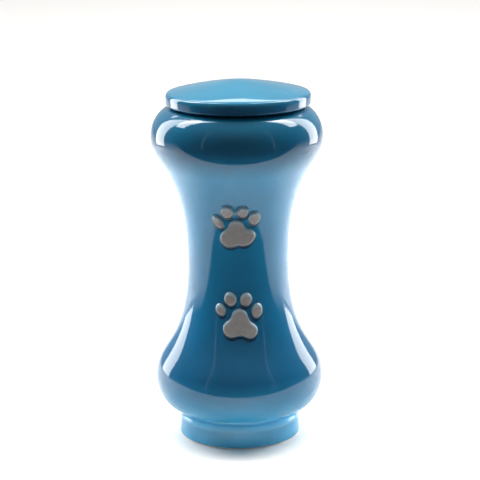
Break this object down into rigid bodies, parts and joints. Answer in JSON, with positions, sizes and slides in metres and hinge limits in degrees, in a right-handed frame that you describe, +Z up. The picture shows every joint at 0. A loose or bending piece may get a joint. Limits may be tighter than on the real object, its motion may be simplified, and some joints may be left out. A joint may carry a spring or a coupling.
{
  "type": "ceramic pet urn",
  "caption": "Hollow glazed ceramic pet urn with the outline of an upright bone, a round foot, raised paw prints on its front and a loose domed lid that lifts off",
  "frame": {"origin": "Middle of the foot's underside, on the surface the urn stands on", "axes": "+Z up along the axis of the urn, the front with the paw prints faces -Y, +X to the right seen from the front"},
  "size_m": [0.1138, 0.1138, 0.2412],
  "materials": {
    "blue_glaze": "gloss"
  },
  "bodies": {
    "root": {"urn_body": "blue_glaze", "lid": "blue_glaze"}
  },
  "joints": []
}
